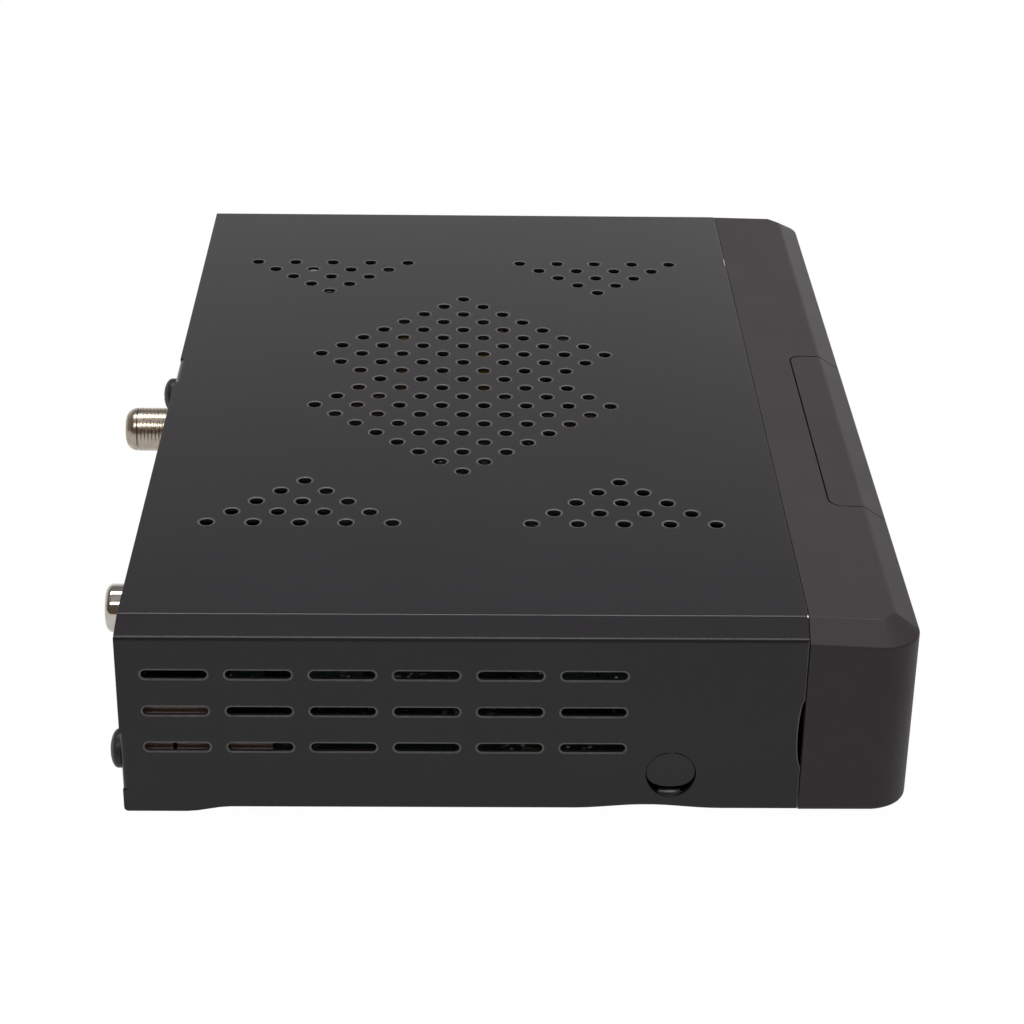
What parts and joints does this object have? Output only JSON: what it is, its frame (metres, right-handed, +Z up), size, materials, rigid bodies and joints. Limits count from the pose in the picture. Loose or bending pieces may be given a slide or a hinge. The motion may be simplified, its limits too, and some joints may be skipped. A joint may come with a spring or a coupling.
{
  "type": "satellite television receiver",
  "caption": "Low black satellite receiver with a vented steel case, a plastic front with a drop-down door over sprung buttons, and rear connectors.",
  "frame": {"origin": "middle of the bounding box on the surface that the feet stand on", "axes": "+Z up, -Y towards the front with the door, +X towards the display side"},
  "size_m": [0.209, 0.1562, 0.0414],
  "materials": {
    "cover_paint": "satin black paint with a fine texture",
    "panel_paint": "satin black paint",
    "pan_steel": "zinc-coated sheet",
    "foot_rubber": "matt",
    "black_screw": "black oxide",
    "bright_screw": "zinc",
    "front_plastic": "finely textured, slightly warm black",
    "button_plastic": "satin",
    "black_plastic": "satin",
    "smoked_window": "smoked, polished",
    "red_lens": "clear red",
    "chip_resin": "matt resin",
    "green_board": "solder mask",
    "brown_board": "paper laminate",
    "aluminium": "plain",
    "tin_plate": "tin-plated",
    "nickel": "nickel-plated",
    "chrome_shell": "bright nickel",
    "yellow_tape": "polyester tape",
    "sleeve": "shrink sleeve",
    "cable_grey": "flat cable"
  },
  "bodies": {
    "case": {"top_cover": "cover_paint", "rear_panel": "panel_paint", "base_pan": "pan_steel", "foot_front_left": "foot_rubber", "foot_front_right": "foot_rubber", "foot_rear_left": "foot_rubber", "foot_rear_right": "foot_rubber", "rear_screw_left": "black_screw", "rear_screw_right": "black_screw", "rear_screw_top": "black_screw", "front_fascia": "front_plastic", "tact_switch_1": "black_plastic", "tact_switch_2": "black_plastic", "tact_switch_3": "black_plastic", "display_window": "smoked_window", "display_module": "black_plastic", "ir_receiver": "chip_resin", "standby_led": "red_lens", "front_board": "green_board", "front_board_screw_1": "bright_screw", "front_board_screw_2": "bright_screw", "main_board": "green_board", "main_board_screw_1": "bright_screw", "main_board_screw_2": "bright_screw", "main_board_screw_3": "bright_screw", "main_board_screw_4": "bright_screw", "power_board": "brown_board", "power_board_screw_1": "bright_screw", "power_board_screw_2": "bright_screw", "power_board_screw_3": "bright_screw", "card_reader": "black_plastic", "processor": "chip_resin", "heat_sink": "aluminium", "memory_chip": "chip_resin", "tuner_can": "tin_plate", "lnb_connector": "nickel", "lnb_nut": "nickel", "coax_jack": "chrome_shell", "hdmi_socket": "tin_plate", "usb_socket": "tin_plate", "av_jack": "black_plastic", "mains_inlet": "black_plastic", "transformer": "yellow_tape", "bulk_capacitor": "sleeve", "output_capacitor_1": "sleeve", "output_capacitor_2": "sleeve", "power_heat_sink": "aluminium", "link_cable": "cable_grey"},
    "door": {"front_door": "front_plastic"},
    "power_key": {"power_button": "button_plastic"},
    "channel_down_key": {"channel_down_button": "button_plastic"},
    "channel_up_key": {"channel_up_button": "button_plastic"}
  },
  "joints": [
    {"name": "door_hinge", "type": "hinge", "parent": "case", "child": "door", "pos_m": [0, -0.0763, 0.0076], "axis": [1, 0, 0], "range_deg": [0, 90]},
    {"name": "power_press", "type": "slide", "parent": "case", "child": "power_key", "axis": [0, 1, 0], "range_m": [0, 0.0006], "stiffness_N_per_m": 1000},
    {"name": "channel_down_press", "type": "slide", "parent": "case", "child": "channel_down_key", "axis": [0, 1, 0], "range_m": [0, 0.0006], "stiffness_N_per_m": 1000},
    {"name": "channel_up_press", "type": "slide", "parent": "case", "child": "channel_up_key", "axis": [0, 1, 0], "range_m": [0, 0.0006], "stiffness_N_per_m": 1000}
  ]
}
